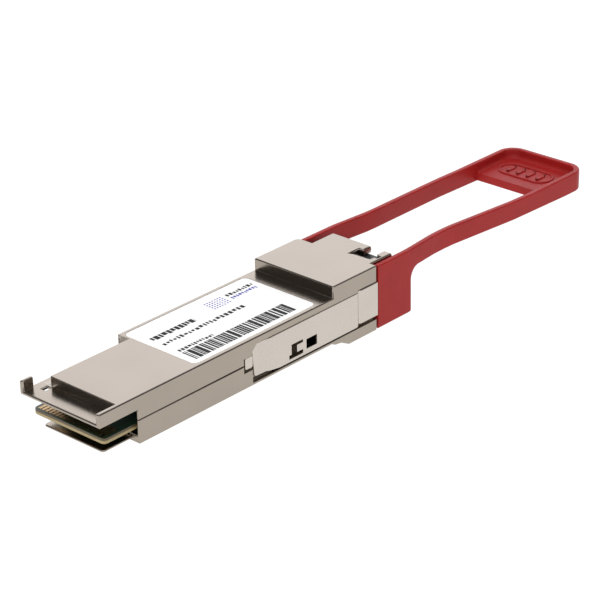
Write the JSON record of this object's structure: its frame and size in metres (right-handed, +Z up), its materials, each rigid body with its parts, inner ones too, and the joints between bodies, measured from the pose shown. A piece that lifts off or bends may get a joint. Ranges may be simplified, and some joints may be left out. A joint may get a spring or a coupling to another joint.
{
  "type": "optical transceiver module",
  "caption": "Pluggable optical transceiver: slim metal case with edge contacts at one end, a fibre port at the other, sprung side latch slides and a long red pull tab.",
  "frame": {"origin": "below the middle of the module's overall box, at the height of its lowest point, the foot of the head and of the pull tab's side plates", "axes": "+X across the module towards the side with the fibre port, +Y along it from the card edge to the end of the pull tab, +Z up through the label face"},
  "size_m": [0.0184, 0.127, 0.0124],
  "materials": {
    "case_metal": "satin nickel plating",
    "spring_steel": "satin",
    "steel_parts": "satin",
    "red_plastic": "moulded, slightly soft sheen",
    "black_plastic": "moulded",
    "circuit_board": "solder mask",
    "gold_plating": "plated",
    "chip_package": "moulded epoxy",
    "ceramic_parts": "matt",
    "thermal_pad": "matt",
    "flex_circuit": "polyimide film",
    "label_film": "printed film",
    "gasket": "matt, metal-filled"
  },
  "bodies": {
    "module": {"bottom_shell": "case_metal", "capacitor_1": "ceramic_parts", "capacitor_2": "ceramic_parts", "capacitor_3": "ceramic_parts", "capacitor_4": "ceramic_parts", "capacitor_5": "ceramic_parts", "capacitor_6": "ceramic_parts", "crystal": "ceramic_parts", "driver_chip": "chip_package", "duplexer_body": "steel_parts", "edge_contacts_bottom": "gold_plating", "edge_contacts_top": "gold_plating", "ferrule_sleeve": "steel_parts", "label": "label_film", "laser_can": "gold_plating", "laser_flex": "flex_circuit", "main_board": "circuit_board", "microcontroller": "chip_package", "optical_gasket": "gasket", "optical_receptacle": "black_plastic", "power_converter": "chip_package", "power_inductor_1": "chip_package", "power_inductor_2": "chip_package", "receiver_can": "gold_plating", "receiver_flex": "flex_circuit", "return_spring_left": "spring_steel", "return_spring_right": "spring_steel", "shell_gasket_left": "gasket", "shell_gasket_right": "gasket", "shell_screw_1": "steel_parts", "shell_screw_2": "steel_parts", "shell_screw_3": "steel_parts", "shell_screw_4": "steel_parts", "signal_processor": "chip_package", "subassembly_clamp": "steel_parts", "thermal_pad_bottom": "thermal_pad", "thermal_pad_top": "thermal_pad", "top_shell": "case_metal"},
    "release": {"pull_tab": "red_plastic", "slider_right": "spring_steel", "slider_left": "spring_steel"}
  },
  "joints": [
    {"name": "release_slide", "type": "slide", "parent": "module", "child": "release", "axis": [0, 1, 0], "range_m": [0, 0.0025], "stiffness_N_per_m": 500, "springref_m": -0.002, "deforming": ["return_spring_right", "return_spring_left"]}
  ]
}
